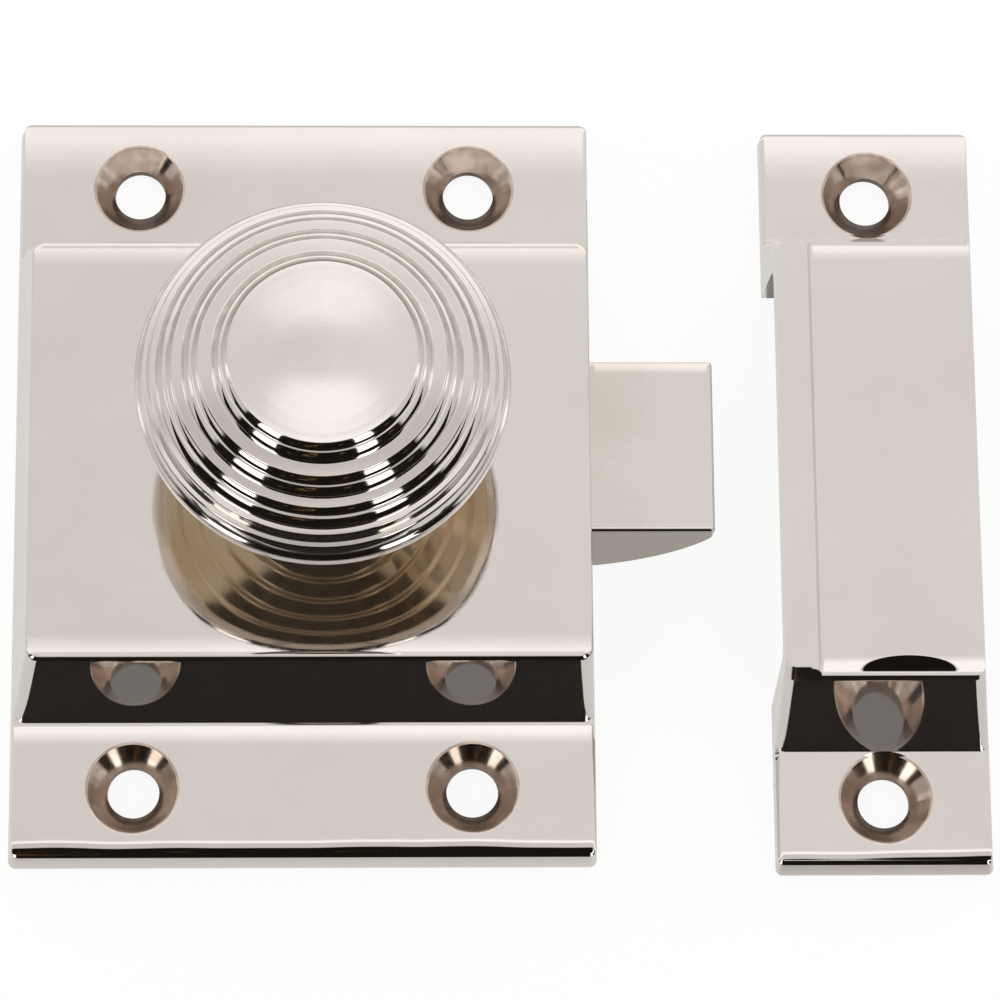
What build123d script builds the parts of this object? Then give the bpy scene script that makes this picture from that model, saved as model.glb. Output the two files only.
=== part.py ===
from build123d import *
import math
import os

# Cupboard catch latch: a cast case with a turn knob and a sprung bolt, and its keeper.
# Millimetres. The back faces lie on Z = 0, +Z comes out of the door, +Y is up the door
# and +X points from the case to the keeper. The origin is the centre of the case back.

# case
case_w = 50.8
case_l = 67.7
flange_t = 2.8
case_h = 13.4
end_draft = 0.4
side_draft_0 = 2.1
side_draft_1 = 0.7
face_half = 18.65
foot_half = 21.65
roll_w = 4.2
roll_drop = 0.14
wall_0 = 2.1
wall_1 = 3.3
wall_end = 2.45
roof_t = 1.55
guide_t = 1.5
guide_l = 6.4

# wood screw holes
edge_x = 10.75
edge_y = 6.45
keeper_edge_y = 6.2
hole_d = 4.5
sink_d = 8.3

# running fits
slide_gap = 0.05
turn_gap = 0.05
face_gap = 0.15

# bolt
bolt_w = 15.3
bolt_y = 0.6
bolt_reach = 10.0
bevel_start = 0.3
bevel_sag = 1.35
bolt_tip_t = 1.5
head_inside = 4.4
rail_w = 2.5
cam_clear = 0.55
bar_t = 2.6
bolt_travel = 8.0

# knob, spindle and cam
axis_x = 1.9
knob_r = 15.45
knob_rise = 26.4
spindle_d = 8.0
square = 4.2
stub_d = 6.0
boss_r = 5.6
boss_drop = 2.45
turn_deg = 75.0
cam_r = 4.0
cam_t = 3.5
washer_t = 0.5
washer_d = 10.6
cam_screw_d = 3.0
cam_screw_l = 5.5
cam_screw_head_d = 7.0
cam_screw_head_t = 1.65

# spring
spring_od = 5.6
wire_d = 0.7
spring_turns = 6.0
wire_sides = 4
seat_depth = 0.8
pin_d = 2.5
pin_l = 9.65

# back plate
plate_t = 0.9
plate_rim = 1.3
plate_inset = 0.1
plate_screw_in = 2.9
plate_screw_d = 2.4
plate_screw_l = 6.0
lug = 6.0

# keeper
keeper_gap = 15.45
keeper_y = -0.8
keeper_w = 18.9
keeper_draft_0 = 0.1
keeper_draft_1 = 1.75
keeper_slope = 4.1
keeper_end = 10.3
keeper_wall = 2.1
keeper_roof_t = 1.4
lip_w = 2.15
lip_h = 1.15
cove_r = 0.95

# worked out from the sizes above
face_x0 = side_draft_0 - case_w / 2
face_x1 = case_w / 2 - side_draft_1
pocket_x0 = face_x0 + wall_0
pocket_x1 = face_x1 - wall_1
pocket_half = face_half - wall_end
screw_dx = case_w - 2 * edge_x
screw_dy = case_l - 2 * edge_y
keeper_dy = case_l - 2 * keeper_edge_y
roof_z = case_h - roof_t
bolt_z1 = roof_z - slide_gap
plate_z1 = plate_inset + plate_t
bolt_z0 = plate_z1 + slide_gap
boss_z = roof_z - boss_drop
washer_z1 = boss_z - turn_gap
cam_z1 = washer_z1 - washer_t
cam_z0 = cam_z1 - cam_t
rail_z1 = cam_z0 - cam_clear
spring_z = (bolt_z0 + cam_z1) / 2
knob_z0 = case_h + face_gap
knob_top = case_h + knob_rise
stub_l = knob_rise / 2
bolt_tip_x = case_w / 2 + bolt_reach
bolt_bevel_x = case_w / 2 + bevel_start
head_x0 = pocket_x1 - head_inside
keeper_x = case_w / 2 + keeper_gap + keeper_w / 2
keeper_foot_half = case_l / 2 - keeper_end
keeper_face_half = keeper_foot_half - keeper_slope
keeper_inner_half = keeper_face_half - keeper_wall
cam_rate = bolt_travel / math.radians(turn_deg)
bar_x1 = axis_x - cam_r - turn_gap
bar_x0 = bar_x1 - bar_t
seat_x = pocket_x0 - seat_depth


def block(x0, x1, y0, y1, z0, z1):
    """A box given by its limits."""
    size = Box(x1 - x0, y1 - y0, z1 - z0)
    return Pos((x0 + x1) / 2, (y0 + y1) / 2, (z0 + z1) / 2) * size


def rod(x, y, z0, z1, d):
    """An upright round bar."""
    return Pos(x, y, (z0 + z1) / 2) * Cylinder(d / 2, z1 - z0)


def rod_x(x0, x1, y, z, d):
    """A round bar along X."""
    bar = Rot(0, 90, 0) * Cylinder(d / 2, x1 - x0)
    return Pos((x0 + x1) / 2, y, z) * bar


def bulged(p0, p1, bulge):
    """A line between two points, or an arc whose middle stands off by bulge."""
    if not bulge:
        return Line(p0, p1)
    a, b = Vector(*p0), Vector(*p1)
    run = (b - a).normalized()
    side = Vector(0, 1, 0) if abs(run.Y) < 1e-6 and abs(a.Y - b.Y) < 1e-6 else Vector(1, 0, 0)
    middle = (a + b) * 0.5 + run.cross(side) * bulge
    return ThreePointArc(a, middle, b)


def outline(points):
    """A closed face through (point, bulge) pairs, each bulge on the way to the next point."""
    edges = []
    for i, (point, bulge) in enumerate(points):
        edges.append(bulged(point, points[(i + 1) % len(points)][0], bulge))
    return make_face(edges)


def along_x(points_yz, x0, x1):
    """A profile drawn in Y and Z, extruded from x0 to x1."""
    face = outline([((x0, y, z), bulge) for y, z, bulge in points_yz])
    return extrude(face, amount=x1 - x0, dir=(1, 0, 0))


def along_y(points_xz, y0, y1):
    """A profile drawn in X and Z, extruded from y0 to y1."""
    face = outline([((x, y0, z), bulge) for x, z, bulge in points_xz])
    return extrude(face, amount=y1 - y0, dir=(0, 1, 0))


def turned(x, y, points_rz):
    """A profile drawn in radius and Z, turned about an upright axis."""
    face = outline([((r, 0, z), bulge) for r, z, bulge in points_rz])
    return Pos(x, y, 0) * revolve(face, Axis.Z)


def wood_screw_hole(x, y):
    """The tool for one countersunk hole through a flange."""
    depth = (sink_d - hole_d) / 2
    sink = Pos(x, y, flange_t - depth / 2) * Cone(hole_d / 2, sink_d / 2, depth)
    lead = rod(x, y, flange_t, flange_t + 1.0, sink_d)
    return rod(x, y, -1.0, flange_t, hole_d) + sink + lead


def hump_profile():
    """The raised body from the side: its face rolls off a little before each end slope."""
    top = case_h - roll_drop
    low = foot_half + (foot_half - face_half) * flange_t / (top - flange_t)
    flat = face_half - roll_w
    sag = -roll_drop / 4
    return [
        (-low, 0, 0), (low, 0, 0), (face_half, top, sag),
        (flat, case_h, 0), (-flat, case_h, sag), (-face_half, top, 0),
    ]


def ends_profile():
    """The flanges from the side."""
    half = case_l / 2
    up = half - end_draft
    return [(-half, 0, 0), (half, 0, 0), (up, flange_t, 0), (-up, flange_t, 0)]


def edges_where(shape, test):
    """The edges whose middle point and direction pass a test."""
    return [e for e in shape.edges() if test(e.position_at(0.5), e.tangent_at(0.5))]


def ease_ends(shape, y0, y1, foot, hump_r, flange_r):
    """Round the upright corners of the hump and the flanges, and ease the flanges' edges."""
    def hump_corner(p, t):
        inside = y0 < abs(p.Y) < y1
        return inside and flange_t + 0.5 < p.Z < case_h - 1.0 and abs(t.X) < 0.3

    def flange_corner(p, t):
        return abs(p.Y) > case_l / 2 - 1 and abs(p.Z - flange_t / 2) < 0.3 and abs(t.Z) > 0.8

    def flange_edge(p, t):
        return abs(p.Z - flange_t) < 0.01 and abs(p.Y) > foot + 0.8

    shape = fillet(edges_where(shape, hump_corner), hump_r)
    shape = fillet(edges_where(shape, flange_corner), flange_r)
    return chamfer(edges_where(shape, flange_edge), 0.3)


def case_outside():
    """The raised body with its two flanges, sides drafted, edges rounded."""
    reach = case_w
    hump = along_x(hump_profile(), -reach, reach)
    body = hump + along_x(ends_profile(), -reach, reach)
    half = case_w / 2
    sides = [(-half, 0, 0), (half, 0, 0), (face_x1, case_h, 0), (face_x0, case_h, 0)]
    body = body & along_y(sides, -case_l, case_l)
    body = ease_ends(body, face_half - 0.1, foot_half + 0.1, foot_half, 1.1, 0.7)

    def face_edge(p, t):
        if p.Z < case_h - roll_drop - 0.01 or abs(p.Y) > face_half + 1.0:
            return False
        across = abs(t.X) > 0.9 and abs(abs(p.Y) - face_half) < 0.3
        return across or p.X < face_x0 + 1.2 or p.X > face_x1 - 1.2

    return fillet(edges_where(body, face_edge), 0.5)


def pocket_end(x):
    """The end wall of the pocket on the side of x."""
    return pocket_x1 if x > 0 else pocket_x0


def plate_screw_points():
    """The places of the back plate's screws, in the corners of the pocket."""
    y = pocket_half - plate_screw_in
    inner = (pocket_x0 + plate_screw_in, pocket_x1 - plate_screw_in)
    return [(x, sy * y) for x in inner for sy in (-1, 1)]


def plate_screw(x, y):
    """One small countersunk screw, flush with the back of the plate."""
    r = plate_screw_d / 2
    end = plate_inset + plate_screw_l
    points = [(0, plate_inset, 0), (r + plate_t, plate_inset, 0), (r, plate_z1, 0)]
    points += [(r, end, 0), (0, end, 0)]
    return turned(x, y, points)


def latch_case():
    """The casting, hollow from the back, with the bolt's slot through its right wall."""
    body = case_outside()
    pocket = block(pocket_x0, pocket_x1, -pocket_half, pocket_half, -1, roof_z)
    pocket = fillet(pocket.edges().filter_by(Axis.Z), 1.5)
    reach = pocket_half + plate_rim
    recess = block(pocket_x0 - plate_rim, pocket_x1 + plate_rim, -reach, reach, -1, plate_z1)
    recess = fillet(recess.edges().filter_by(Axis.Z), 1.5)
    body = body - pocket - recess
    for x, y in plate_screw_points():
        lug_x0, lug_x1 = sorted((x - math.copysign(lug / 2, x), pocket_end(x)))
        lug_y0, lug_y1 = sorted((y - math.copysign(lug / 2, y), math.copysign(pocket_half, y)))
        body = body + block(lug_x0, lug_x1, lug_y0, lug_y1, plate_z1, roof_z)
    body = body + rod(axis_x, 0, boss_z, roof_z, 2 * boss_r)
    half = bolt_w / 2 + slide_gap
    for side in (-1, 1):
        y0, y1 = sorted((side * half, side * (half + guide_t)))
        y0, y1 = y0 + bolt_y, y1 + bolt_y
        body = body + block(pocket_x1 - guide_l, pocket_x1, y0, y1, bolt_z0 + 0.15, roof_z)
    stop_x = axis_x + cam_r - 0.7
    body = body + block(stop_x, stop_x + 2.0, 10.2, 12.6, cam_z0 + 0.5, roof_z)
    body = body - block(pocket_x1 - 1, case_w, bolt_y - half, bolt_y + half, -1, roof_z)
    body = body - rod(axis_x, 0, 0, case_h + 2, spindle_d + 2 * turn_gap)
    body = body - rod_x(seat_x, pocket_x0 + 1, 0, spring_z, spring_od + 0.6)
    for sx in (-1, 1):
        for sy in (-1, 1):
            body = body - wood_screw_hole(sx * screw_dx / 2, sy * screw_dy / 2)
    for x, y in plate_screw_points():
        body = body - rod(x, y, 0, plate_inset + plate_screw_l, plate_screw_d)
    return body


def back_plate():
    """The sheet that closes the case, let in flush with the back."""
    free = plate_rim - 0.1
    reach = pocket_half + free
    size = block(pocket_x0 - free, pocket_x1 + free, -reach, reach, plate_inset, plate_z1)
    size = fillet(size.edges().filter_by(Axis.Z), 1.4)
    for x, y in plate_screw_points():
        size = size - plate_screw(x, y)
    return size


def back_plate_screws():
    """The four screws of the back plate."""
    return Compound([plate_screw(x, y).solid() for x, y in plate_screw_points()])


def latch_bolt():
    """The bolt: a bevelled head, two rails that pass the cam, and the bar it pushes."""
    half = bolt_w / 2
    side = [(head_x0, bolt_z0, 0), (bolt_bevel_x, bolt_z0, -bevel_sag)]
    side += [(bolt_tip_x, bolt_z1 - bolt_tip_t, 0), (bolt_tip_x, bolt_z1, 0)]
    side += [(head_x0, bolt_z1, 0)]
    head = along_y(side, bolt_y - half, bolt_y + half)

    def shown(p, t):
        front = p.Z > bolt_z1 - 0.01 and abs(t.X) > 0.9
        tip = p.X > bolt_tip_x - 0.01
        return front or tip

    head = fillet(edges_where(head, shown), 0.35)
    bar = block(bar_x0, bar_x1, bolt_y - half, bolt_y + half, bolt_z0, cam_z1 - 0.15)
    body = head + bar
    for y0 in (bolt_y - half, bolt_y + half - rail_w):
        body = body + block(bar_x0, head_x0, y0, y0 + rail_w, bolt_z0, rail_z1)
    return body - spring_pin()


def spring_pin():
    """The pin in the bar that keeps the spring in line."""
    end = bar_x0 + bar_t - 0.6
    pin = rod_x(end - pin_l, end, 0, spring_z, pin_d)
    return chamfer(edges_where(pin, lambda p, t: p.X < end - 1), 0.3)


def bolt_spring():
    """The compression spring between the case and the bar."""
    radius = (spring_od - wire_d) / 2
    length = bar_x0 - seat_x - wire_d
    path = Helix(pitch=length / spring_turns, height=length, radius=radius)
    start = Plane(origin=path @ 0, z_dir=path % 0)
    coil = sweep(start * RegularPolygon(wire_d / 2, wire_sides), path=path, is_frenet=True)
    return Pos(seat_x + wire_d / 2, 0, spring_z) * Rot(0, 90, 0) * coil


def knob_profile():
    """Radius and height, from the top centre down to the neck and back up the bore."""
    outside = [
        (0, 0.45), (4.0, 0.32), (7.65, 0), (7.9, -0.25), (8.7, -1.7), (9.85, -1.8),
        (10.05, -2.0), (11.3, -3.1), (12.25, -3.2), (12.45, -3.45), (13.45, -5.3),
        (13.85, -5.4), (14.05, -5.7), (14.2, -6.5), (14.6, -6.6), (15.15, -7.5),
        (15.45, -8.25), (15.45, -8.75), (15.1, -9.2), (14.3, -9.35), (13.9, -9.9),
        (12.6, -10.15), (12.1, -10.8), (10.9, -11.05), (10.4, -11.7), (9.1, -11.95),
        (8.6, -12.6), (7.4, -12.9), (6.4, -14.2), (5.6, -16.5), (5.4, -19.8), (5.4, -22.7),
    ]
    wide = knob_r / 15.45
    deep = knob_rise / 26.4
    shell = [(r * wide, knob_top + z * deep, 0) for r, z in outside]
    foot = 7.0 * wide
    collar = [(foot - 0.7, knob_z0 + 1.7, 0), (foot, knob_z0 + 1.1, 0), (foot - 0.1, knob_z0, 0)]
    bore_z = knob_z0 + stub_l
    bore = [(stub_d / 2, knob_z0, 0), (stub_d / 2, bore_z, 0), (0, bore_z + 0.6, 0)]
    return shell + collar + bore


def knob():
    """The turned, stepped knob with its neck and collar."""
    return turned(axis_x, 0, knob_profile())


def square_bar(z0, z1):
    """The square end of the spindle."""
    h = square / 2
    return block(axis_x - h, axis_x + h, -h, h, z0, z1)


def spindle():
    """The steel spindle: square below for the cam, round in the case, a stub in the knob."""
    body = rod(axis_x, 0, washer_z1, knob_z0, spindle_d)
    body = body + rod(axis_x, 0, knob_z0, knob_z0 + stub_l - 0.1, stub_d)
    body = body + square_bar(cam_z0, washer_z1)
    return body - rod(axis_x, 0, cam_z0 - 1, cam_z0 + cam_screw_l, cam_screw_d)


def thrust_washer():
    """The washer between the boss and the cam."""
    return rod(axis_x, 0, cam_z1, washer_z1, washer_d) - square_bar(cam_z1 - 1, washer_z1 + 1)


def cam_outline():
    """The cam: its flank gives the bolt the same travel for every degree of turn."""
    flank = []
    steps = 12
    for i in range(steps + 1):
        turn = math.radians(turn_deg) * (1 - i / steps)
        angle = math.pi - turn
        lift = cam_r + cam_rate * turn
        nx, ny = math.cos(angle), math.sin(angle)
        flank.append((lift * nx + cam_rate * ny, lift * ny - cam_rate * nx))
    tip = flank[0]
    far = math.hypot(*tip)
    touch = math.atan2(tip[1], tip[0]) - math.acos(cam_r / far)
    heel = (cam_r * math.cos(touch), cam_r * math.sin(touch))
    under = (cam_r * math.cos((touch - math.pi) / 2), cam_r * math.sin((touch - math.pi) / 2))
    back = ThreePointArc(heel, under, (-cam_r, 0))
    lower = Line((-cam_r, 0), flank[-1])
    return make_face([Line(tip, heel), back, lower, Spline(*reversed(flank))])


def cam():
    """The cam on the square of the spindle."""
    plate = extrude(Pos(axis_x, 0, cam_z0) * cam_outline(), amount=cam_t, dir=(0, 0, 1))
    return plate - square_bar(cam_z0 - 1, cam_z1 + 1)


def cam_screw():
    """The screw that holds the cam on the spindle."""
    head_z = cam_z0 - cam_screw_head_t
    body = rod(axis_x, 0, head_z, cam_z0, cam_screw_head_d)
    body = body + rod(axis_x, 0, cam_z0, cam_z0 + cam_screw_l, cam_screw_d)
    return body - block(axis_x - 4, axis_x + 4, -0.45, 0.45, head_z - 1, head_z + 0.7)


def keeper():
    """The keeper: a bridge for the bolt, with a lip along the edge the bolt meets."""
    w0 = keeper_w / 2
    w1 = w0 - keeper_draft_1
    top = case_h + lip_h
    lip_x0 = keeper_draft_0 - w0
    lip_x1 = lip_x0 + lip_w
    section = [
        (-w0, 0, 0), (w0, 0, 0), (w1, case_h, 0), (lip_x1 + cove_r, case_h, -0.29 * cove_r),
        (lip_x1, case_h + cove_r, 0), (lip_x1, top, 0), (lip_x0, top, 0),
    ]
    body = Pos(keeper_x, 0, 0) * along_y(section, -case_l, case_l)
    slope = (keeper_foot_half - keeper_face_half) / (case_h - flange_t)
    low = keeper_foot_half + slope * flange_t
    high = keeper_foot_half - slope * (top - flange_t)
    x0, x1 = keeper_x - keeper_w, keeper_x + keeper_w
    hump = along_x([(-low, 0, 0), (low, 0, 0), (high, top, 0), (-high, top, 0)], x0, x1)
    body = body & (hump + along_x(ends_profile(), x0, x1))

    body = ease_ends(body, high, keeper_foot_half, keeper_foot_half, 0.9, 0.6)
    inner = keeper_inner_half
    roof = case_h - keeper_roof_t
    lower = inner + 1.5
    tunnel = along_x([(-lower, -0.1, 0), (lower, -0.1, 0), (inner, roof, 0), (-inner, roof, 0)], x0, x1)
    tunnel = fillet(edges_where(tunnel, lambda p, t: p.Z > roof - 0.1 and abs(t.X) > 0.9), 1.5)
    body = body - tunnel
    for side in (-1, 1):
        body = body - wood_screw_hole(keeper_x, side * keeper_dy / 2)
    return Pos(0, keeper_y, 0) * body


PARTS = {
    "latch_case": latch_case,
    "back_plate": back_plate,
    "back_plate_screws": back_plate_screws,
    "latch_bolt": latch_bolt,
    "spring_pin": spring_pin,
    "bolt_spring": bolt_spring,
    "knob": knob,
    "spindle": spindle,
    "thrust_washer": thrust_washer,
    "cam": cam,
    "cam_screw": cam_screw,
    "keeper": keeper,
}

os.makedirs("parts", exist_ok=True)
for name, build in PARTS.items():
    export_step(build(), "parts/" + name + ".step")
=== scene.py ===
import math

import bmesh
import bpy
from mathutils import Matrix, Vector


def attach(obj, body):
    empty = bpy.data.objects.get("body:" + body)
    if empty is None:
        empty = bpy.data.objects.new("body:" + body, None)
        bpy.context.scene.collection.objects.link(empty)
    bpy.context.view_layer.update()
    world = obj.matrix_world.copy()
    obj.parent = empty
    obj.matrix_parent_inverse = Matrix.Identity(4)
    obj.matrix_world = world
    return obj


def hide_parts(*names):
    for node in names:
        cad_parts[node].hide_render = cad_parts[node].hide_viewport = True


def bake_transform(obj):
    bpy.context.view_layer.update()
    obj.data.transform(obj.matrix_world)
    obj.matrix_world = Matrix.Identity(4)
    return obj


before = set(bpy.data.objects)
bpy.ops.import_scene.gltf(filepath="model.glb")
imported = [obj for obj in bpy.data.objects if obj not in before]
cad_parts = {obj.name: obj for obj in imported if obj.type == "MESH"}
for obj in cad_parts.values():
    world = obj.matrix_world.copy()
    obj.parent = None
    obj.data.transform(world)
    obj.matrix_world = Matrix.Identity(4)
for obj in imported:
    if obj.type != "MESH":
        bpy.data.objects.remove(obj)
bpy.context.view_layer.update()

# The part's own sizes, as in the CAD source. TOP and COLLAR are in millimetres.
MM = 0.001
AXIS_X = 1.9 * MM
TOP = 39.8
COLLAR = 13.55
HOLE_X = 14.65 * MM
HOLE_Y = 27.4 * MM
KEEPER_X = 50.3 * MM
KEEPER_Y = -0.8 * MM
KEEPER_HOLE_Y = 27.65 * MM
SINK_R = 4.15 * MM
FLANGE_Z = 2.8 * MM
FACE_Z = 13.4 * MM
BOLT_Z = 11.8 * MM


class Tree:
    """Short calls for building a shader's node tree."""

    def __init__(self, tree):
        self.tree = tree
        self.nodes = tree.nodes
        self.links = tree.links

    def add(self, kind, **values):
        node = self.nodes.new(kind)
        for key, value in values.items():
            setattr(node, key, value)
        return node

    def put(self, socket, value):
        if isinstance(value, bpy.types.NodeSocket):
            self.links.new(value, socket)
        else:
            socket.default_value = value

    def math(self, operation, a, b=0.0, c=0.0, clamp=False):
        node = self.add("ShaderNodeMath", operation=operation, use_clamp=clamp)
        for socket, value in zip(node.inputs, (a, b, c)):
            self.put(socket, value)
        return node.outputs[0]

    def ramp(self, value, low, high, start=0.0, end=1.0):
        """Goes smoothly from start to end as value goes from low to high."""
        node = self.add("ShaderNodeMapRange", interpolation_type="SMOOTHSTEP")
        for name, item in (("Value", value), ("From Min", low), ("From Max", high)):
            self.put(node.inputs[name], item)
        node.inputs["To Min"].default_value = start
        node.inputs["To Max"].default_value = end
        return node.outputs["Result"]

    def mix(self, factor, a, b):
        node = self.add("ShaderNodeMix", data_type="RGBA")
        self.put(node.inputs["Factor"], factor)
        self.put(node.inputs["A"], a)
        self.put(node.inputs["B"], b)
        return node.outputs["Result"]

    def blend(self, factor, a, b):
        """A number between a and b."""
        node = self.add("ShaderNodeMix", data_type="FLOAT")
        self.put(node.inputs["Factor"], factor)
        self.put(node.inputs["A"], a)
        self.put(node.inputs["B"], b)
        return node.outputs["Result"]

    def noise(self, vector, scale, detail=3.0, rough=0.55):
        node = self.add("ShaderNodeTexNoise")
        self.put(node.inputs["Vector"], vector)
        node.inputs["Scale"].default_value = scale
        node.inputs["Detail"].default_value = detail
        node.inputs["Roughness"].default_value = rough
        return node.outputs["Fac"]

    def stretch(self, vector, scale):
        node = self.add("ShaderNodeMapping")
        self.put(node.inputs["Vector"], vector)
        node.inputs["Scale"].default_value = scale
        return node.outputs["Vector"]

    def xyz(self, vector):
        node = self.add("ShaderNodeSeparateXYZ")
        self.put(node.inputs[0], vector)
        return node.outputs

    def join(self, x=0.0, y=0.0, z=0.0):
        node = self.add("ShaderNodeCombineXYZ")
        for socket, value in zip(node.inputs, (x, y, z)):
            self.put(socket, value)
        return node.outputs[0]

    def unit(self, vector):
        node = self.add("ShaderNodeVectorMath", operation="NORMALIZE")
        self.put(node.inputs[0], vector)
        return node.outputs[0]

    def surface_normal(self):
        return self.add("ShaderNodeNewGeometry").outputs["Normal"]

    def either(self, factor, first, second):
        """A shader node that goes from first to second as factor goes from 0 to 1."""
        node = self.add("ShaderNodeMixShader")
        self.put(node.inputs[0], factor)
        self.links.new(first.outputs[0], node.inputs[1])
        self.links.new(second.outputs[0], node.inputs[2])
        return node

    def bump(self, height, strength, distance, normal=None):
        node = self.add("ShaderNodeBump")
        node.inputs["Strength"].default_value = strength
        node.inputs["Distance"].default_value = distance
        self.put(node.inputs["Height"], height)
        if normal is not None:
            self.put(node.inputs["Normal"], normal)
        return node.outputs["Normal"]


def new_material(name):
    """A material with its tree, its shader and the object's own coordinates."""
    material = bpy.data.materials.new(name)
    material.use_nodes = True
    tree = Tree(material.node_tree)
    shader = next(n for n in tree.nodes if n.type == "BSDF_PRINCIPLED")
    where = tree.add("ShaderNodeTexCoord").outputs["Object"]
    return material, tree, shader, where


def radius_from(t, parts, x, y):
    """Distance from an upright axis at x, y, in metres."""
    dx = t.math("SUBTRACT", parts[0], x)
    dy = t.math("SUBTRACT", parts[1], y)
    return t.math("SQRT", t.math("ADD", t.math("MULTIPLY", dx, dx), t.math("MULTIPLY", dy, dy)))


def inside_range(t, value, low, high, soft):
    """1 where value lies between low and high, with edges soft metres wide."""
    up = t.ramp(value, low, low + soft)
    return t.math("MULTIPLY", up, t.ramp(value, high - soft, high, 1.0, 0.0))


def rolled_face(t, parts, normal, x_range, y_range, z, north, south, dip=None):
    """The normal of a flat face that rolls off towards its two ends, given in metres.

    north and south are the width of the rolled part, its slope at the very end and how far
    its start wanders along X. dip is the centre and half size of a worn hollow."""
    y0, y1 = y_range
    waver = t.math("SUBTRACT", t.noise(t.join(parts[0]), 38.0, 2.0), 0.5)
    lean = 0.0
    for edge, sign, (width, slope, wander) in ((y1, 1.0, north), (y0, -1.0, south)):
        y = t.math("MULTIPLY_ADD", waver, wander, parts[1])
        beyond = t.math("MULTIPLY", t.math("SUBTRACT", y, edge - sign * width), sign / width)
        share = t.math("MAXIMUM", beyond, 0.0)
        lean = t.math("MULTIPLY_ADD", t.math("MULTIPLY", share, share), sign * slope, lean)
    if dip:
        dip_x, dip_y, wide, high = dip
        u = t.math("DIVIDE", t.math("SUBTRACT", parts[0], dip_x), wide)
        v = t.math("DIVIDE", t.math("SUBTRACT", parts[1], dip_y), high)
        far = t.math("ADD", t.math("MULTIPLY", u, u), t.math("MULTIPLY", v, v))
        worn = t.ramp(far, 0.80, 1.0, 0.62, 0.0)
        lean = t.math("SUBTRACT", lean, worn)
    across = inside_range(t, parts[0], *x_range, 0.0004)
    along = inside_range(t, parts[1], *y_range, 0.0003)
    level = inside_range(t, parts[2], z - 0.0003, z + 0.0002, 0.0001)
    blend = t.add("ShaderNodeMix", data_type="VECTOR")
    t.put(blend.inputs["Factor"], t.math("MULTIPLY", t.math("MULTIPLY", across, along), level))
    t.put(blend.inputs["A"], normal)
    t.put(blend.inputs["B"], t.join(0.0, lean, 1.0))
    return t.unit(blend.outputs["Result"])


def steeper_slope(t, parts, normal, amount):
    """The normal, turned down by amount on the slope at the near end."""
    facing = t.ramp(t.xyz(normal)[1], -0.9, -0.8, amount, 0.0)
    on_slope = inside_range(t, parts[2], FLANGE_Z + 0.0001, FACE_Z - 0.0006, 0.0002)
    drop = t.math("MULTIPLY", t.math("MULTIPLY", facing, on_slope), -1.0)
    total = t.add("ShaderNodeVectorMath", operation="ADD")
    t.put(total.inputs[0], normal)
    t.put(total.inputs[1], t.join(0.0, 0.0, drop))
    return t.unit(total.outputs[0])


# Colours of the plate and its stains, and painted shade and painted highlight on it.
NICKEL = (0.770, 0.735, 0.705, 1.0)
NICKEL_DEEP = (0.715, 0.665, 0.620, 1.0)
DISC_PAINTED_HIGHLIGHT = (0.800, 0.770, 0.740, 1.0)
DUST = (1.0, 0.96, 0.92, 1.0)
SINK = (0.640, 0.540, 0.470, 1.0)
SINK_STAIN = (0.460, 0.370, 0.310, 1.0)
TARNISH = (0.500, 0.370, 0.215, 1.0)
BOLT_SIDE_PAINTED_SHADE = (0.290, 0.250, 0.205, 1.0)
RIM_PAINTED_SHADE = (0.240, 0.180, 0.150, 1.0)
LEDGE_PAINTED_SHADE = (0.560, 0.520, 0.480, 1.0)
WALL_PAINTED_SHADE = (0.360, 0.315, 0.275, 1.0)


class Coat:
    """Polished nickel plate with thin dust, whose looks each piece's wear, painted shade and
    painted highlight change in turn.
    """

    def __init__(self, name, rough, faces, steeper):
        self.material, t, self.shader, self.where = new_material(name)
        self.t = t
        self.parts = t.xyz(self.where)
        self.cloud = t.noise(self.where, 90.0, 3.0)
        self.fine = t.noise(self.where, 900.0, 4.0)
        self.colour = t.mix(t.ramp(self.cloud, 0.35, 0.7, 0.0, 0.35), NICKEL, NICKEL_DEEP)
        self.roughness = t.blend(t.ramp(self.fine, 0.4, 0.75), rough, rough + 0.035)
        self.form = t.surface_normal()
        for face in faces:
            self.form = rolled_face(t, self.parts, self.form, *face)
        if steeper:
            self.form = steeper_slope(t, self.parts, self.form, steeper)
        self.normal = t.bump(self.cloud, 0.35, 0.00003, self.form)
        scratches = t.noise(t.stretch(self.where, (260.0, 2600.0, 900.0)), 1.0, 2.0)
        self.ripple(scratches, 0.10, 0.000004)
        self.shader.inputs["Metallic"].default_value = 1.0
        self.shader.inputs["Sheen Weight"].default_value = 0.6
        self.shader.inputs["Sheen Roughness"].default_value = 0.3
        self.shader.inputs["Sheen Tint"].default_value = DUST

    def tint(self, share, colour):
        self.colour = self.t.mix(share, self.colour, colour)

    def dull(self, share, roughness):
        self.roughness = self.t.blend(share, self.roughness, roughness)

    def ripple(self, height, strength, distance):
        self.normal = self.t.bump(height, strength, distance, self.normal)

    def finish(self):
        self.t.put(self.shader.inputs["Base Color"], self.colour)
        self.t.put(self.shader.inputs["Roughness"], self.roughness)
        self.t.put(self.shader.inputs["Normal"], self.normal)
        return self.material


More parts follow.
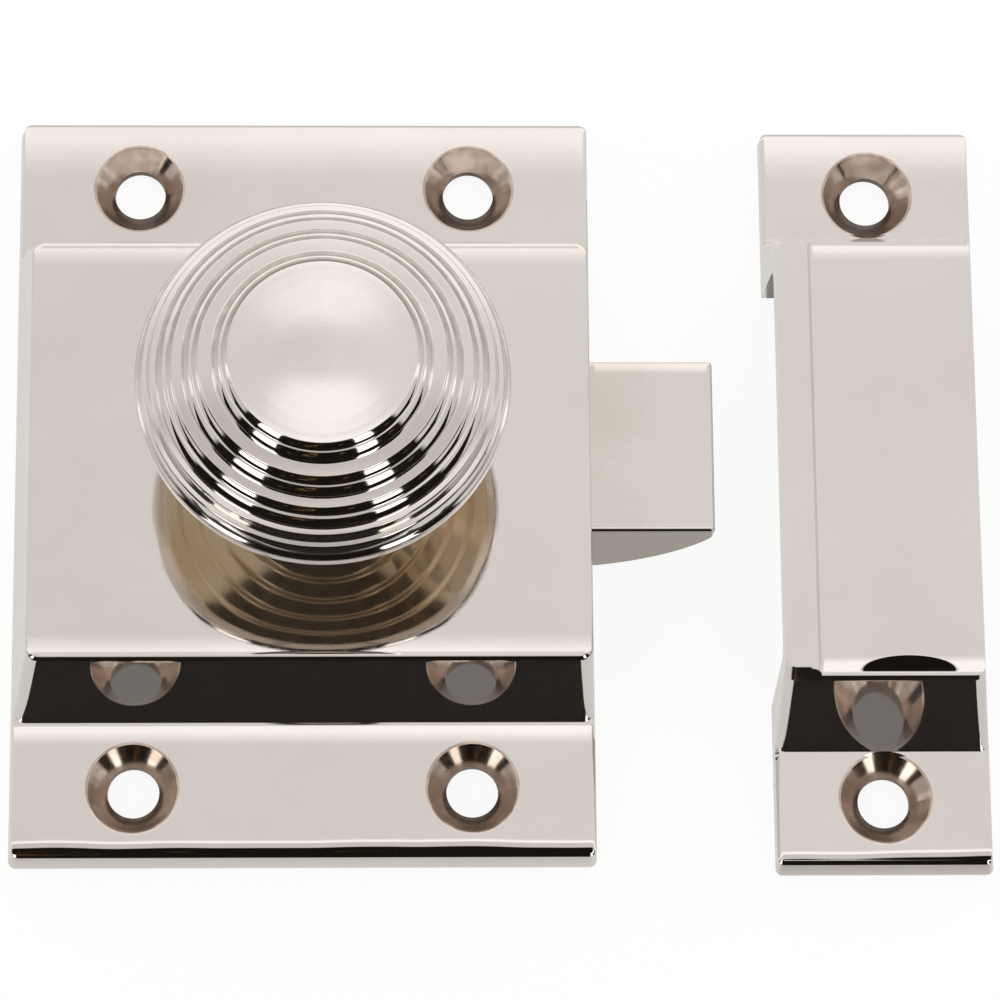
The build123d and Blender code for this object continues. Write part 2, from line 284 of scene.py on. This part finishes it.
def sink_wear(coat, hole_axes):
    """Turning rings and a brown stain inside the countersinks."""
    t, parts = coat.t, coat.parts
    inside = 0.0
    for x, y in hole_axes:
        r = radius_from(t, parts, x, y)
        near = t.ramp(r, SINK_R - 0.00006, SINK_R + 0.00002, 1.0, 0.0)
        below = inside_range(t, parts[2], 0.00003, FLANGE_Z - 0.00002, 0.0001)
        spot = t.math("MULTIPLY", near, below)
        inside = t.math("MAXIMUM", inside, spot)
        rings = t.math("SINE", t.math("MULTIPLY", r, 5200.0))
        coat.ripple(t.math("MULTIPLY", rings, spot), 0.5, 0.000012)
    stain = t.ramp(t.noise(coat.where, 420.0, 2.0), 0.35, 0.65)
    coat.tint(inside, t.mix(stain, SINK, SINK_STAIN))
    coat.dull(inside, 0.15)


def bolt_tarnish_and_painted_shade(coat, from_x):
    """Tarnish near the case, and painted shade on the near side."""
    t = coat.t
    stained = t.ramp(coat.parts[0], from_x, from_x + 0.0030, 0.16, 0.0)
    coat.tint(t.math("MULTIPLY", stained, t.ramp(coat.cloud, 0.3, 0.6)), TARNISH)
    # Painted shade: the side facing south is darkened in place of the dark floor it mirrors.
    side = t.ramp(t.xyz(t.surface_normal())[1], -0.97, -0.90, 1.0, 0.0)
    coat.tint(side, BOLT_SIDE_PAINTED_SHADE)


def knob_wear_and_painted_shade(coat):
    """A satin top disc with painted highlight streaks, painted shade along the disc's far edge and
    on the steps, and tarnish under the knob.
    """
    t, parts, where = coat.t, coat.parts, coat.where
    r = radius_from(t, parts, AXIS_X, 0.0)
    high_up = t.ramp(parts[2], (TOP - 0.3) * MM, (TOP - 0.1) * MM)
    disc = t.math("MULTIPLY", t.ramp(r, 0.0075, 0.0077, 1.0, 0.0), high_up)
    coat.dull(disc, 0.13)
    hair = t.noise(t.stretch(where, (900.0, 5200.0, 900.0)), 1.0, 3.0)
    coat.ripple(t.math("MULTIPLY", hair, disc), 0.12, 0.00001)
    # Painted highlight: paler streaks across the top disc.
    highlight_streaks = t.noise(t.stretch(where, (240.0, 90.0, 1.0)), 1.0, 2.0)
    coat.tint(t.math("MULTIPLY", disc, t.ramp(highlight_streaks, 0.35, 0.65, 0.0, 0.6)), DISC_PAINTED_HIGHLIGHT)

    # Painted shade: a dark line along the far half of the disc's edge.
    rim = inside_range(t, r, 0.00766, 0.00792, 0.00006)
    rim = t.math("MULTIPLY", rim, t.ramp(parts[1], -0.001, 0.004))
    coat.tint(t.math("MULTIPLY", rim, high_up), RIM_PAINTED_SHADE)
    upright = t.xyz(coat.form)[2]
    # Painted shade: the ledges of the steps on the near half are darkened.
    ledge_shade = t.math("MULTIPLY", t.ramp(upright, 0.85, 0.97), t.ramp(r, 0.0078, 0.0084))
    ledge_shade = t.math("MULTIPLY", ledge_shade, t.ramp(parts[1], -0.005, -0.001, 0.75, 0.0))
    coat.tint(ledge_shade, LEDGE_PAINTED_SHADE)
    # Painted shade: patchy darkening of the steep walls between the steps on the far half.
    wall = inside_range(t, upright, 0.15, 0.93, 0.10)
    wall = t.math("MULTIPLY", wall, t.ramp(parts[1], -0.002, 0.003, 0.0, 0.62))
    wall = t.math("MULTIPLY", wall, t.ramp(coat.fine, 0.30, 0.62, 0.55, 1.0))
    coat.tint(wall, WALL_PAINTED_SHADE)

    under = t.ramp(parts[2], (TOP - 9.6) * MM, (TOP - 8.9) * MM, 1.0, 0.0)
    patchy = t.ramp(coat.cloud, 0.3, 0.7, 0.75, 1.0)
    coat.tint(t.math("MULTIPLY", under, patchy), TARNISH)
    coat.dull(under, 0.09)
    t.put(coat.shader.inputs["Metallic"], t.blend(under, 1.0, 0.88))


def nickel(name, wear_and_painted_light, *details, rough=0.04, faces=(), steeper=0.0):
    """The plate on one piece, with its kind of wear and, on some pieces, painted shade and
    highlight.
    """
    coat = Coat(name, rough, faces, steeper)
    wear_and_painted_light(coat, *details)
    return coat.finish()


def plain_metal(name, light, dark, rough, scale, stretch=(1.0, 1.0, 1.0)):
    """Bare or zinc plated steel and brass for the inner pieces."""
    material, t, shader, where = new_material(name)
    flow = t.stretch(where, stretch)
    cloud = t.noise(flow, scale, 4.0)
    colour = t.mix(t.ramp(cloud, 0.3, 0.7), light, dark)
    fine = t.noise(flow, scale * 9.0, 3.0)
    t.put(shader.inputs["Base Color"], colour)
    t.put(shader.inputs["Roughness"], t.blend(fine, rough, rough + 0.14))
    t.put(shader.inputs["Normal"], t.bump(fine, 0.3, 0.00001))
    shader.inputs["Metallic"].default_value = 1.0
    return material


CASE_HOLES = [(sx * HOLE_X, sy * HOLE_Y) for sx in (-1, 1) for sy in (-1, 1)]
KEEPER_HOLES = [(KEEPER_X, KEEPER_Y + s * KEEPER_HOLE_Y) for s in (-1, 1)]

# The flat faces, as rolled_face takes them.
plain_end = (0.0010, 0.0, 0.0)
case_width = (-0.0252, 0.0252)
case_faces = [
    ((-0.0234, 0.0248), (-0.01825, 0.01825), FACE_Z,
     (0.0038, 0.090, 0.0006), (0.0050, 0.055, 0.0)),
    (case_width, (-0.0333, -0.0218), FLANGE_Z, (0.0030, -0.075, 0.0), (0.0014, 1.20, 0.0016)),
    (case_width, (0.0218, 0.0333), FLANGE_Z, (0.0090, 0.090, 0.0010), plain_end),
]
keeper_width = (0.0410, 0.0596)
keeper_faces = [
    ((0.0440, 0.0582), (KEEPER_Y - 0.01925, KEEPER_Y + 0.01925), FACE_Z,
     (0.0026, 0.12, 0.0004), (0.0026, 0.12, 0.0004), (0.0515, -0.0198, 0.0042, 0.0014)),
    (keeper_width, (KEEPER_Y - 0.0333, KEEPER_Y - 0.0238), FLANGE_Z,
     plain_end, (0.0012, 0.90, 0.0012)),
    (keeper_width, (KEEPER_Y + 0.0238, KEEPER_Y + 0.0333), FLANGE_Z,
     (0.0080, 0.090, 0.0008), plain_end),
]
bolt_faces = [
    ((0.0250, 0.0352), (-0.0068, 0.0081), BOLT_Z, (0.0018, 0.16, 0.0004), plain_end),
]

finishes = {
    "latch_case": nickel(
        "case_nickel", sink_wear, CASE_HOLES, faces=case_faces, steeper=0.05),
    "keeper": nickel(
        "keeper_nickel", sink_wear, KEEPER_HOLES, faces=keeper_faces, steeper=0.14),
    "latch_bolt": nickel("bolt_nickel", bolt_tarnish_and_painted_shade, 0.0290, rough=0.07, faces=bolt_faces),
    "back_plate": plain_metal(
        "zinc_sheet", (0.62, 0.63, 0.64, 1), (0.48, 0.50, 0.53, 1), 0.30, 260.0),
    "spindle": plain_metal(
        "turned_steel", (0.58, 0.57, 0.55, 1), (0.47, 0.46, 0.45, 1), 0.22, 500.0, (1, 1, 6)),
    "thrust_washer": plain_metal(
        "washer_metal", (0.74, 0.58, 0.32, 1), (0.60, 0.44, 0.22, 1), 0.25, 500.0),
}
for name in ("spring_pin", "cam", "cam_screw"):
    finishes[name] = finishes["spindle"]
for name, material in finishes.items():
    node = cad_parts[name]
    if not node.material_slots:
        node.data.materials.append(material)
    for slot in node.material_slots:
        slot.material = material


def arc_points(p0, p1, bulge, steps):
    """Points from p0 to p1 on the arc whose middle stands off by bulge."""
    if not bulge:
        return [p0, p1]
    chord = p1 - p0
    side = Vector((-chord.y, chord.x)).normalized()
    middle = (p0 + p1) / 2 + side * bulge
    ax, ay, bx, by, cx, cy = *p0, *middle, *p1
    d = 2 * (ax * (by - cy) + bx * (cy - ay) + cx * (ay - by))
    a2, b2, c2 = ax * ax + ay * ay, bx * bx + by * by, cx * cx + cy * cy
    centre = Vector((
        (a2 * (by - cy) + b2 * (cy - ay) + c2 * (ay - by)) / d,
        (a2 * (cx - bx) + b2 * (ax - cx) + c2 * (bx - ax)) / d))
    start = math.atan2(ay - centre.y, ax - centre.x)
    sweep = math.atan2(cy - centre.y, cx - centre.x) - start
    sweep = (sweep + math.pi) % (2 * math.pi) - math.pi
    reach = (p0 - centre).length
    points = []
    for i in range(steps + 1):
        angle = start + sweep * i / steps
        points.append(centre + reach * Vector((math.cos(angle), math.sin(angle))))
    return points


def smooth_outline(profile, ease, steps=6):
    """The profile's points in millimetres, arcs divided and each corner eased."""
    runs = []
    for (r0, z0, bulge), (r1, z1, _) in zip(profile, profile[1:]):
        runs.append(arc_points(Vector((r0, z0)), Vector((r1, z1)), bulge, 10))
    out = [runs[0][0]]
    for i, run in enumerate(runs):
        if i + 1 == len(runs):
            out += run[1:]
            break
        after = runs[i + 1]
        corner = run[-1]
        cut = min(ease, 0.4 * (run[-1] - run[0]).length, 0.4 * (after[-1] - after[0]).length)
        out += [p for p in run[1:-1] if (p - corner).length > cut]
        a = corner + (run[-2] - corner).normalized() * cut
        b = corner + (after[1] - corner).normalized() * cut
        for k in range(steps + 1):
            s = k / steps
            out.append(a * (1 - s) ** 2 + corner * 2 * s * (1 - s) + b * s * s)
        runs[i + 1] = [b] + [p for p in after[1:] if (p - corner).length > cut]
    return out


def piece_from(bm, name, material, smooth=True):
    """An object made of the faces in bm, which is freed."""
    bmesh.ops.recalc_face_normals(bm, faces=bm.faces)
    for face in bm.faces:
        face.smooth = smooth
    mesh = bpy.data.meshes.new(name)
    bm.to_mesh(mesh)
    bm.free()
    mesh.materials.append(material)
    piece = bpy.data.objects.new(name, mesh)
    bpy.context.scene.collection.objects.link(piece)
    return piece


def lathe(name, outline, x, y, segments, material):
    """A mesh turned about an upright axis. Points at radius 0 become the poles."""
    bm = bmesh.new()
    rings = []
    for r, z in outline:
        if r < 1e-6:
            rings.append([bm.verts.new((x, y, z * MM))])
            continue
        ring = []
        for k in range(segments):
            angle = 2 * math.pi * k / segments
            ring.append(bm.verts.new((
                x + r * MM * math.cos(angle), y + r * MM * math.sin(angle), z * MM)))
        rings.append(ring)
    for one, two in zip(rings, rings[1:]):
        for k in range(segments):
            n = (k + 1) % segments
            if len(one) == 1:
                bm.faces.new((one[0], two[k], two[n]))
            elif len(two) == 1:
                bm.faces.new((one[k], two[0], one[n]))
            else:
                bm.faces.new((one[k], two[k], two[n], one[n]))
    return piece_from(bm, name, material)


# The knob's radius, height below the top and bulge, in millimetres: the domed disc, the
# steps down to the rim, the rings underneath, the neck and the collar.
knob_profile = [(0.4 * k, 0.45 - 0.002 * k * k, 0) for k in range(10)]
knob_profile += [
    (4.4, 0.214, 0), (5.2, 0.139, 0), (6.0, 0.066, 0), (7.0, -0.011, 0), (7.70, -0.055, 0),
    (7.80, -0.13, 0.03), (8.20, -0.62, 0), (8.36, -0.64, 0.03), (8.92, -1.32, 0), (9.08, -1.42, 0),
    (10.10, -1.44, 0), (10.20, -1.58, 0.03), (10.62, -2.10, 0), (10.80, -2.13, 0.04),
    (11.42, -2.90, 0), (11.52, -2.98, 0), (12.26, -2.99, 0), (12.36, -3.13, 0.03),
    (12.74, -3.62, 0), (13.02, -3.65, 0.04), (13.58, -4.45, 0), (13.66, -4.52, 0),
    (14.08, -4.56, 0), (14.14, -4.66, 0), (14.34, -5.62, 0), (14.40, -5.70, 0), (14.76, -5.74, 0),
    (14.84, -5.84, 0.02), (15.08, -7.02, 0), (15.14, -7.10, 0), (15.38, -7.24, 0.04),
    (15.45, -8.0, 0), (15.45, -8.6, 0), (15.3, -9.05, 0), (15.0, -9.2, 0), (14.3, -9.35, 0),
    (13.15, -10.20, 0), (12.7, -10.24, 0), (11.55, -11.10, 0), (11.1, -11.14, 0),
    (9.95, -12.00, 0), (9.5, -12.04, 0), (8.35, -12.88, 0), (7.9, -12.92, 0), (7.4, -13.3, 0),
    (6.4, -14.2, 0), (5.6, -16.5, 0), (5.4, -19.8, 0), (5.4, -22.7, 0),
]
knob_profile = [(r, TOP + z, bulge) for r, z, bulge in knob_profile]
knob_profile += [
    (6.3, COLLAR + 1.7, 0), (7.0, COLLAR + 1.1, 0), (6.9, COLLAR, 0), (3.05, COLLAR, 0)]
knob = lathe(
    "turned_knob", smooth_outline(knob_profile, 0.10), AXIS_X, 0.0, 192,
    nickel("knob_nickel", knob_wear_and_painted_shade))
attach(knob, "knob_set")
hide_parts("knob")


def coil(name, x0, x1, z, radius, wire, turns, material):
    """A helix of round wire along X with closed ends."""
    steps, sides = int(turns * 36), 12
    bm = bmesh.new()
    rings = []
    length = x1 - x0
    for i in range(steps + 1):
        s = i / steps
        angle = 2 * math.pi * turns * s
        out = Vector((0, math.cos(angle), math.sin(angle)))
        along = Vector((1, 0, 0))
        centre = Vector((x0 + length * s, 0, z)) + out * radius
        ring = []
        for k in range(sides):
            a = 2 * math.pi * k / sides
            ring.append(bm.verts.new(centre + (out * math.cos(a) + along * math.sin(a)) * wire / 2))
        rings.append(ring)
    for one, two in zip(rings, rings[1:]):
        for k in range(sides):
            n = (k + 1) % sides
            bm.faces.new((one[k], one[n], two[n], two[k]))
    bm.faces.new(rings[0])
    bm.faces.new(list(reversed(rings[-1])))
    return piece_from(bm, name, material)


wire_steel = plain_metal(
    "spring_wire", (0.42, 0.42, 0.42, 1), (0.30, 0.29, 0.28, 1), 0.26, 700.0)
spring_z = 0.00495
spring = coil("wound_spring", -0.02165, -0.0051, spring_z, 0.00245, 0.0007, 7.0, wire_steel)
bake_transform(spring)
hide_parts("bolt_spring")


def slotted_head(name, x, y, material):
    """A flat head seen from the back, with a driver slot."""
    bm = bmesh.new()
    low, deep, edge = 0.1 * MM, 0.55 * MM, 0.95 * MM
    radius, half = 2.1 * MM, 0.3 * MM
    sides = 32
    for side in (-1, 1):
        first = math.asin(half / radius)
        rim = []
        for k in range(sides // 2 + 1):
            angle = first + (math.pi - 2 * first) * k / (sides // 2)
            rim.append((math.cos(angle) * radius, side * math.sin(angle) * radius))
        flat = [bm.verts.new((x + u, y + v, low)) for u, v in rim]
        skirt = [bm.verts.new((x + u * 0.6, y + v * 0.6, edge)) for u, v in rim]
        wall = [bm.verts.new((x + u, y + v, deep)) for u, v in (rim[0], rim[-1])]
        bm.faces.new(flat)
        for k in range(len(rim) - 1):
            bm.faces.new((flat[k], flat[k + 1], skirt[k + 1], skirt[k]))
        bm.faces.new((flat[0], flat[-1], wall[1], wall[0]))
    end = radius * 0.9
    slot_floor = [(-end, -half), (end, -half), (end, half), (-end, half)]
    bm.faces.new([bm.verts.new((x + u, y + v, deep)) for u, v in slot_floor])
    shank = [[], []]
    for k in range(24):
        angle = 2 * math.pi * k / 24
        u, v = 1.2 * MM * math.cos(angle), 1.2 * MM * math.sin(angle)
        shank[0].append(bm.verts.new((x + u, y + v, edge)))
        shank[1].append(bm.verts.new((x + u, y + v, 6.1 * MM)))
    for k in range(24):
        n = (k + 1) % 24
        bm.faces.new((shank[0][k], shank[0][n], shank[1][n], shank[1][k]))
    bm.faces.new(shank[1])
    return piece_from(bm, name, material, smooth=False)


for x in (-18.3, 18.5):
    for y in (-13.3, 13.3):
        tag = ("l" if x < 0 else "r") + ("b" if y < 0 else "t")
        head = slotted_head("plate_screw_" + tag, x * MM, y * MM, finishes["spindle"])
        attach(head, "case")
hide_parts("back_plate_screws")


# The floor: white paper to the eye. What the plate mirrors of it goes by zone: dark south of
# the pieces, a grey strip at their near edge, pale beside them and dim under them.
FLOOR_DROP = -0.0003
FLOOR_REACH = 4
NEAR_EDGE = -0.0336
FAR_EDGE = 0.0336
GLOOM = (0.010, 0.008, 0.006, 1)
FLOOR_EMBERS = (0.17, 0.10, 0.03, 1)
BESIDE = (0.74, 0.725, 0.70, 1)
NEAR_STRIP = (0.50, 0.48, 0.45, 1)
UNDER_PIECES = (0.20, 0.19, 0.18, 1)

corners = [(-1, -1), (1, -1), (1, 1), (-1, 1)]
floor_mesh = bpy.data.meshes.new("floor")
floor_mesh.from_pydata(
    [(x * FLOOR_REACH, y * FLOOR_REACH, FLOOR_DROP) for x, y in corners], [], [(0, 1, 2, 3)])
floor = bpy.data.objects.new("floor", floor_mesh)
bpy.context.scene.collection.objects.link(floor)
paper, t, shader, where = new_material("white_paper")
rays = t.add("ShaderNodeLightPath").outputs
at = t.xyz(where)
embers = t.ramp(t.noise(where, 130.0, 2.0), 0.50, 0.70)
embers = t.math("MULTIPLY", embers, inside_range(t, at[0], 0.038, 0.060, 0.002))
mirrored = t.mix(t.ramp(at[1], -0.0360, -0.0340), NEAR_STRIP, BESIDE)
mirrored = t.mix(
    t.ramp(at[1], -0.0376, -0.0368), t.mix(embers, GLOOM, FLOOR_EMBERS), mirrored)
for x0, x1 in ((-0.0252, 0.0252), (0.0412, 0.0594)):
    under = inside_range(t, at[0], x0, x1, 0.0003)
    under = t.math("MULTIPLY", under, inside_range(t, at[1], NEAR_EDGE, FAR_EDGE, 0.0003))
    mirrored = t.mix(under, mirrored, UNDER_PIECES)
shader.inputs["Base Color"].default_value = (0.9, 0.9, 0.9, 1)
shader.inputs["Roughness"].default_value = 0.9
glow = t.add("ShaderNodeEmission")
glow.inputs["Color"].default_value = (1, 1, 1, 1)
glow.inputs["Strength"].default_value = 1.05
mirror_glow = t.add("ShaderNodeEmission")
t.put(mirror_glow.inputs["Color"], mirrored)
seen = t.either(t.math("MULTIPLY", rays["Is Camera Ray"], 0.85), shader, glow)
both = t.either(rays["Is Glossy Ray"], seen, mirror_glow)
output = next(n for n in t.nodes if n.type == "OUTPUT_MATERIAL")
t.links.new(both.outputs[0], output.inputs["Surface"])
floor_mesh.materials.append(paper)

# The room: a banded ceiling, and a dark side to the south with two tall lamps.
# Azimuth 0 is south and grows to the east. Angles are in degrees.
DARK_SIDE = (-66, 61)
DARK_TOP = (57, 65)
LAMPS = ((-52, -34), (25, 40))
LAMP_HEIGHT = (2, 54)
LAMP_LIGHT = 2.3
EMBER_HEIGHT = (3, 30)
CEILING_LIGHT = 0.8
# Place along Y, from 0 in the south to 1 in the north, and brightness there.
CEILING = ((0.0, 0.80), (0.50, 0.70), (0.53, 1.20), (0.575, 1.24), (0.605, 0.82),
           (0.69, 0.84), (0.735, 1.16), (0.80, 1.20), (1.0, 1.15))
EAST_LIGHT = (1.25, 1.31)
PALE = (1.0, 0.970, 0.952, 1)
LAMP_COLOUR = (1.0, 0.99, 0.96, 1)
ROOM_EMBERS = (0.13, 0.08, 0.035, 1)

world = bpy.data.worlds.new("studio")
bpy.context.scene.world = world
world.use_nodes = True
w = Tree(world.node_tree)
background = next(n for n in w.nodes if n.type == "BACKGROUND")
way = w.add("ShaderNodeTexCoord").outputs["Generated"]
dx, dy, dz = w.xyz(way)
elevation = w.math("ARCSINE", dz)
azimuth = w.math("ARCTAN2", dx, w.math("MULTIPLY", dy, -1.0))


def band(value, low_high, soft):
    """1 between two angles in degrees, with soft edges."""
    low, high = low_high
    up = w.ramp(value, math.radians(low - soft), math.radians(low + soft))
    down = w.ramp(value, math.radians(high - soft), math.radians(high + soft), 1.0, 0.0)
    return w.math("MULTIPLY", up, down)


overhead = w.add("ShaderNodeValToRGB")
w.put(overhead.inputs["Fac"], w.math("MULTIPLY_ADD", dy, 0.5, 0.5))
stops = overhead.color_ramp.elements
for place, level in CEILING[1:-1]:
    stops.new(place)
for stop, (place, level) in zip(stops, CEILING):
    stop.position = place
    stop.color = (*[level * CEILING_LIGHT] * 3, 1.0)
sky = w.math("MULTIPLY", overhead.outputs["Color"], w.ramp(dx, -0.06, 0.04, *EAST_LIGHT))
below_ceiling = w.ramp(elevation, *map(math.radians, DARK_TOP), 1.0, 0.0)
dark = w.math("MULTIPLY", band(azimuth, DARK_SIDE, 2.5), below_ceiling)
lamp = w.math("MAXIMUM", *[band(azimuth, side, 1) for side in LAMPS])
lamp = w.math("MULTIPLY", lamp, band(elevation, LAMP_HEIGHT, 1.5))
embers = w.ramp(w.noise(way, 9.0, 1.0), 0.58, 0.70)
embers = w.math("MULTIPLY", embers, band(elevation, EMBER_HEIGHT, 4))
shade = w.mix(dark, PALE, w.mix(embers, GLOOM, ROOM_EMBERS))
w.put(background.inputs["Color"], w.mix(lamp, shade, LAMP_COLOUR))
w.put(background.inputs["Strength"], w.blend(dark, sky, w.blend(lamp, 1.0, LAMP_LIGHT)))
plain = w.add("ShaderNodeBackground")
plain.inputs["Color"].default_value = (1, 1, 1, 1)
plain.inputs["Strength"].default_value = 1.0
choice = w.either(w.add("ShaderNodeLightPath").outputs["Is Camera Ray"], background, plain)
world_output = next(n for n in w.nodes if n.type == "OUTPUT_WORLD")
w.links.new(choice.outputs[0], world_output.inputs["Surface"])


# The camera stands where the photograph was taken from.
CAMERA_PLACE = (0.00455, -0.1246, 0.420)
CAMERA_TILT, CAMERA_ROLL, CAMERA_YAW = 16.42, -0.54, -1.74


def look(position, tilt, roll, yaw):
    """The camera's matrix from where it stands and its angles, in degrees."""
    tilt, roll, yaw = map(math.radians, (tilt, roll, yaw))
    back = Vector((
        math.sin(yaw) * math.cos(tilt), -math.sin(tilt), math.cos(tilt) * math.cos(yaw)))
    back.normalize()
    right = Vector((0, 1, 0)).cross(back).normalized()
    up = back.cross(right)
    across = right * math.cos(roll) + up * math.sin(roll)
    above = up * math.cos(roll) - right * math.sin(roll)
    matrix = Matrix((across, above, back)).transposed().to_4x4()
    matrix.translation = Vector(position)
    return matrix


camera_data = bpy.data.cameras.new("camera")
camera = bpy.data.objects.new("camera", camera_data)
bpy.context.scene.collection.objects.link(camera)
camera_data.sensor_width = 36.0
camera_data.lens = 178.67
camera_data.clip_start = 0.01
camera.matrix_world = look(CAMERA_PLACE, CAMERA_TILT, CAMERA_ROLL, CAMERA_YAW)
bpy.context.scene.camera = camera
bpy.context.scene.view_settings.view_transform = "Standard"
